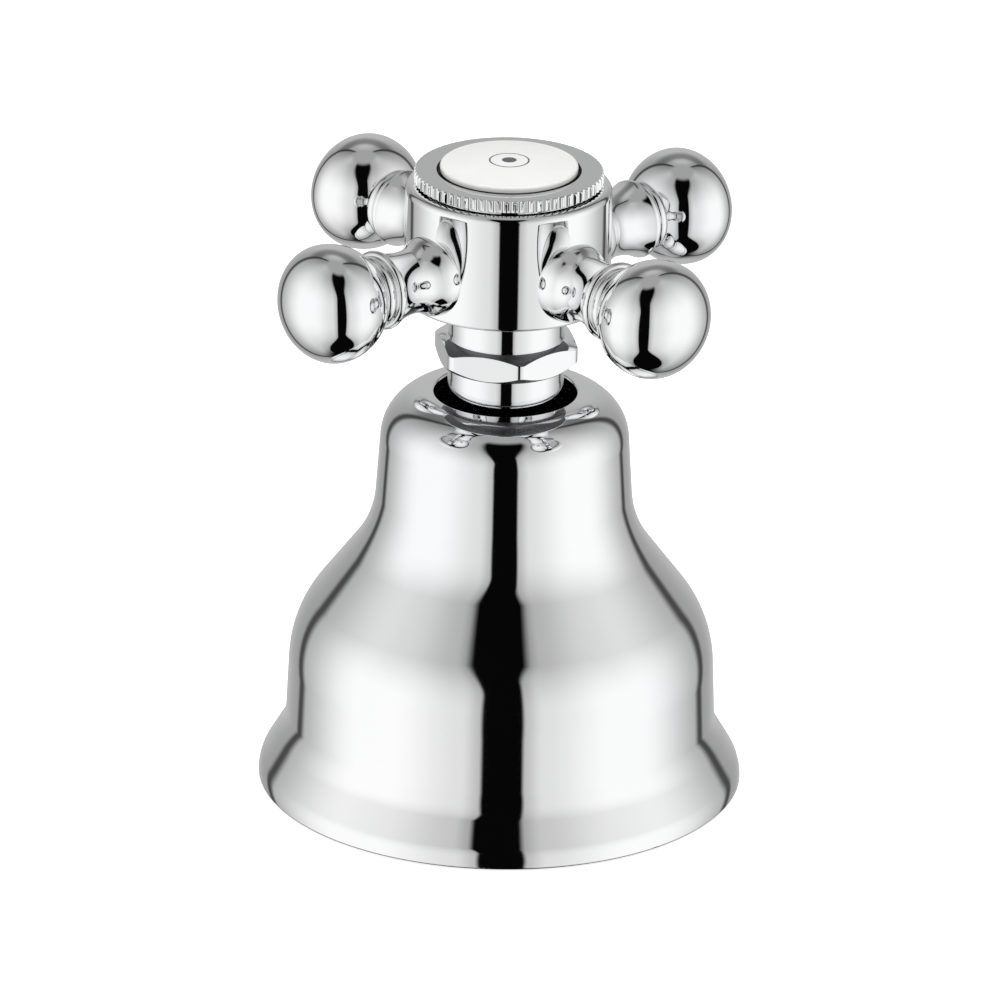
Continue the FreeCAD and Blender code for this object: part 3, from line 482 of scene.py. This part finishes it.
ring_outline = rounded([
    (9.9, 78.1, 0.1),
    (10.9, 78.1, 0.1),
    (10.9, 82.35, 0.05),
    (RING_RADIUS, 82.35, 0.16),
    (RING_RADIUS, 83.87, 0.35),
    (9.24, 83.87, 0.12),
    (9.24, 83.17, 0.05),
    (9.9, 83.17, 0.05),
], fineness=10)
columns = []
for step in range(REEDS * REED_STEPS):
    angle = 2 * math.pi * step / (REEDS * REED_STEPS)
    ray = Vector((math.cos(angle), math.sin(angle), 0))
    drop = reed_depth_at(step % REED_STEPS / REED_STEPS)
    column = []
    for radius, height in ring_outline:
        cut = drop if radius > RING_RADIUS - REED_DEPTH else 0
        column.append((ray * min(radius, RING_RADIUS - cut) + Vector((0, 0, height))) * MM)
    columns.append(column)
ring = wrapped("reeded_ring", columns)
ring.data.set_sharp_from_angle(angle=math.radians(35))
dress(ring, chrome, "cap", "chrome", "cap_ring")
# The darker tone of the flat top is painted shade.
shaded_face_chrome, tree, shader = finish("turned chrome face painted darker", (0.74, 0.745, 0.75), metal=1.0, rough=0.07)
vary_roughness(tree, shader, noise(tree, 2500, 2, stretch=(1, 1, 0.05)), 0.05, 0.1)
relief(tree, shader, noise(tree, 60, 2), 0.000004)
refinish(ring, shaded_face_chrome, lambda face: face.normal.z > 0.97)

# ---------------------------------------------------------------- porcelain index
# A low dome of white porcelain with a soft glazed edge, held by its flange under the ring.
# A plain dot in a fine line, in blue-black enamel fired into the glaze, marks the cold side.
# Its flange and lower wall, in the gap under the ring, are painted black rubber as painted shade.

INDEX_FOOT, INDEX_TOP, SHADED_WALL_TOP = 81.97, 85.12, 83.87
DOME_EDGE, DOME_RISE = 8.5, 0.5
DOT, LINE, LINE_WIDTH, ENAMEL_EDGE = 0.95, 2.5, 0.22, 0.04
dome_radius = (DOME_EDGE ** 2 + DOME_RISE ** 2) / (2 * DOME_RISE)
wall = rounded([
    (9.75, INDEX_FOOT, 0.1),
    (9.75, 83.12, 0.1),
    (8.85, 83.12, 0.05),
    (8.85, SHADED_WALL_TOP, 0),
    (8.85, 84.62, 0.42),
    (8.2, 84.65, 0.5),
    (0, 84.65, 0),
])
index_line = [(0, INDEX_FOOT)] + [point for point in wall if point[0] > 8.3]
for radius in (8.2, 8.0, 7.5, 7, 6, 5, 4, 3, 2, 1, 0):
    fall = dome_radius - math.sqrt(dome_radius ** 2 - radius ** 2)
    index_line.append((radius, INDEX_TOP - fall))
porcelain, tree, shader = finish("white porcelain", (0.9, 0.9, 0.885), rough=0.08)


def number(kind, *values):
    """One step of arithmetic in the tree that is being made."""
    step = tree.nodes.new("ShaderNodeMath")
    step.operation = kind
    for slot, value in enumerate(values):
        if isinstance(value, (int, float)):
            step.inputs[slot].default_value = value
        else:
            tree.links.new(value, step.inputs[slot])
    return step.outputs[0]


def fade(value, start, end, low=0.0, high=1.0):
    """A soft change from low to high as value goes from start to end."""
    span = tree.nodes.new("ShaderNodeMapRange")
    span.interpolation_type = "SMOOTHSTEP"
    ends = {"From Min": start, "From Max": end, "To Min": low, "To Max": high}
    for word, amount in ends.items():
        if isinstance(amount, (int, float)):
            span.inputs[word].default_value = amount
        else:
            tree.links.new(amount, span.inputs[word])
    tree.links.new(value, span.inputs["Value"])
    return span.outputs["Result"]


def enamelled(distance, reach):
    """One closer than that many millimetres, and nothing beyond."""
    return fade(distance, (reach - ENAMEL_EDGE) * MM, (reach + ENAMEL_EDGE) * MM, 1.0, 0.0)


place = tree.nodes.new("ShaderNodeTexCoord")
level = tree.nodes.new("ShaderNodeVectorMath")
level.operation = "MULTIPLY"
level.inputs[1].default_value = (1, 1, 0)
length = tree.nodes.new("ShaderNodeVectorMath")
length.operation = "LENGTH"
tree.links.new(place.outputs["Object"], level.inputs[0])
tree.links.new(level.outputs["Vector"], length.inputs[0])
from_axis = length.outputs["Value"]
off_line = number("ABSOLUTE", number("SUBTRACT", from_axis, LINE * MM))
mark = number("MAXIMUM", enamelled(from_axis, DOT), enamelled(off_line, LINE_WIDTH / 2))
mix = tree.nodes.new("ShaderNodeMix")
mix.data_type = "RGBA"
tree.links.new(mark, mix.inputs["Factor"])
tree.links.new(tint(tree, noise(tree, 220, 5), (0.88, 0.88, 0.86), (0.92, 0.92, 0.905)),
               mix.inputs["A"])
tree.links.new(tint(tree, noise(tree, 1500, 4), (0.012, 0.016, 0.04), (0.02, 0.026, 0.06)),
               mix.inputs["B"])
tree.links.new(mix.outputs["Result"], shader.inputs["Base Color"])
vary_roughness(tree, shader, noise(tree, 160, 3), 0.05, 0.12)
shader.inputs["Coat Weight"].default_value = 0.6
shader.inputs["Coat Roughness"].default_value = 0.03
relief(tree, shader, noise(tree, 130, 2), 0.000006)
dome = dress(turned("porcelain_dome", index_line, closed=False), porcelain, "index", "porcelain",
             "index_disc")
# The flange and the wall below the ring's top take black rubber as painted shade.
refinish(dome, rubber_and_shade, lambda face: face.center.z < SHADED_WALL_TOP * MM)

# ---------------------------------------------------------------- table
# A white table top, matt and a hair below the rim. It is lit from above and glows a little, so
# that it stays an even pale ground, and the chrome doesn't mirror it.

TABLE_REACH, TABLE_DROP = 3, 0.0002
table_corners = [(x * TABLE_REACH, y * TABLE_REACH, -TABLE_DROP)
                 for x, y in ((-1, -1), (1, -1), (1, 1), (-1, 1))]
table = shaped("table_top", table_corners, [(0, 1, 2, 3)])
paper, tree, shader = finish("white table", (0.9, 0.9, 0.9), rough=0.9)
shader.inputs["Specular IOR Level"].default_value = 0.0
shader.inputs["Emission Color"].default_value = (1, 1, 1, 1)
shader.inputs["Emission Strength"].default_value = 0.62
table.data.materials.append(paper)
table.visible_glossy = False

# ---------------------------------------------------------------- light
# A round softbox overhead lights the porcelain and the table. The chrome shows the studio round
# it: soft white panels on both sides with a dark gap between them towards the camera, a dark edge
# behind each, and a grey ceiling and back wall. Directions are in degrees from the camera's side.

CAMERA_TURN = 49.96
LEFT_EDGE, RIGHT_EDGE, UPPER_EDGE = 9.5, 12.5, 36
PANEL_END, BACK_WALL = 137, 141
CEILING_START, CEILING_END = 66, 76
CEILING, DARKEST = 0.39, 0.002

lamp = bpy.data.lights.new("overhead softbox", "AREA")
lamp.shape = "DISK"
lamp.size = 1.6
lamp.energy = 17.0
overhead = bpy.data.objects.new("overhead softbox", lamp)
overhead.location = (0, 0, 1.5)
overhead.visible_glossy = False
overhead.visible_camera = False
bpy.context.scene.collection.objects.link(overhead)

world = bpy.data.worlds.new("soft studio")
bpy.context.scene.world = world
world.use_nodes = True
tree = world.node_tree


def between(share, low, high):
    """From low to high, by that share of the way."""
    return number("ADD", number("MULTIPLY", share, number("SUBTRACT", high, low)), low)


def less(value, share):
    """The value with that share of it taken away."""
    return number("MULTIPLY", value, number("SUBTRACT", 1.0, share))


sky = tree.nodes.new("ShaderNodeTexCoord")
parts = tree.nodes.new("ShaderNodeSeparateXYZ")
tree.links.new(sky.outputs["Generated"], parts.inputs["Vector"])
x, y, z = parts.outputs
front = math.radians(CAMERA_TURN)
towards = number("SUBTRACT", number("MULTIPLY", x, math.sin(front)),
                 number("MULTIPLY", y, math.cos(front)))
sideways = number("ADD", number("MULTIPLY", x, math.cos(front)),
                  number("MULTIPLY", y, math.sin(front)))
azimuth = number("MULTIPLY", number("ARCTAN2", sideways, towards), 180 / math.pi)
away = number("ABSOLUTE", azimuth)
climb = number("MULTIPLY", number("ARCSINE", z), 180 / math.pi)

left_edge = number("ADD", fade(climb, 22, 75, LEFT_EDGE, UPPER_EDGE), fade(climb, -45, -80, 0, 50))
right_edge = number("ADD", fade(climb, 35, 75, RIGHT_EDGE, UPPER_EDGE),
                    fade(climb, -40, -75, 0, 70))
off_gap = number("MAXIMUM", number("SUBTRACT", number("SUBTRACT", 0.0, azimuth), left_edge),
                 number("SUBTRACT", azimuth, right_edge))
softness = fade(climb, 28, 60, 1.3, 5.0)
lit = fade(off_gap, number("SUBTRACT", 0.0, softness), softness)
glow = number("ADD", fade(off_gap, 0, 11, 0.56, 0.82), fade(off_gap, 8, 50, 0.0, 0.26))
glow = number("MINIMUM", glow, fade(away, 80, 135, 1.08, 0.48))
heights = number("MULTIPLY", fade(climb, 5, 65, 1.0, 0.52), fade(climb, -22, -78, 1.0, 0.5))
panel = number("MULTIPLY", number("MULTIPLY", glow, heights), lit)

dark_edge = number("MULTIPLY", fade(away, 128, 135), fade(away, 142, PANEL_END))
shadow = number("MULTIPLY", fade(climb, 25, 44, 0.0, 0.55), fade(climb, 62, 50))
wall = less(fade(away, 140, 172, 0.37, 0.52), shadow)
sides = less(between(fade(away, PANEL_END, BACK_WALL), panel, wall),
             number("MULTIPLY", dark_edge, 0.85))
studio = between(fade(climb, CEILING_START, CEILING_END), sides, CEILING)
below = fade(climb, -84, -66)
background = tree.nodes["Background"]
background.inputs["Strength"].default_value = 1.0
tree.links.new(number("ADD", number("MULTIPLY", studio, below), DARKEST),
               background.inputs["Color"])

# ---------------------------------------------------------------- camera
# A long lens about 1.2 m away looks down at the tap by 22 degrees, facing the dark gap, and is
# framed as the photograph is.

LENS, SENSOR = 325.1, 36
CAMERA_RISE, CAMERA_REACH, AIM_HEIGHT = 22.234, 1.1672, 0.042
PAN, TILT, ROLL = 0.0004, -0.003, -0.0167

lens = bpy.data.cameras.new("camera")
lens.sensor_width = SENSOR
lens.lens = LENS
lens.clip_start, lens.clip_end = 0.05, 10
camera = bpy.data.objects.new("camera", lens)
bpy.context.scene.collection.objects.link(camera)
rise = math.radians(CAMERA_RISE)
ahead = Vector((0, math.cos(rise), -math.sin(rise)))
right = Vector((1, 0, 0))
up = right.cross(ahead)
for turn, axis in ((PAN, up), (TILT, right)):
    swing = Matrix.Rotation(turn, 3, axis)
    ahead, right, up = swing @ ahead, swing @ right, swing @ up
roll = Matrix.Rotation(ROLL, 3, ahead)
stand = Matrix((roll @ right, roll @ up, -ahead)).transposed().to_4x4()
stand.translation = (0, -CAMERA_REACH * math.cos(rise),
                     AIM_HEIGHT + CAMERA_REACH * math.sin(rise))
camera.matrix_world = Matrix.Rotation(front, 4, "Z") @ stand
bpy.context.scene.camera = camera
bpy.context.scene.view_settings.view_transform = "Standard"
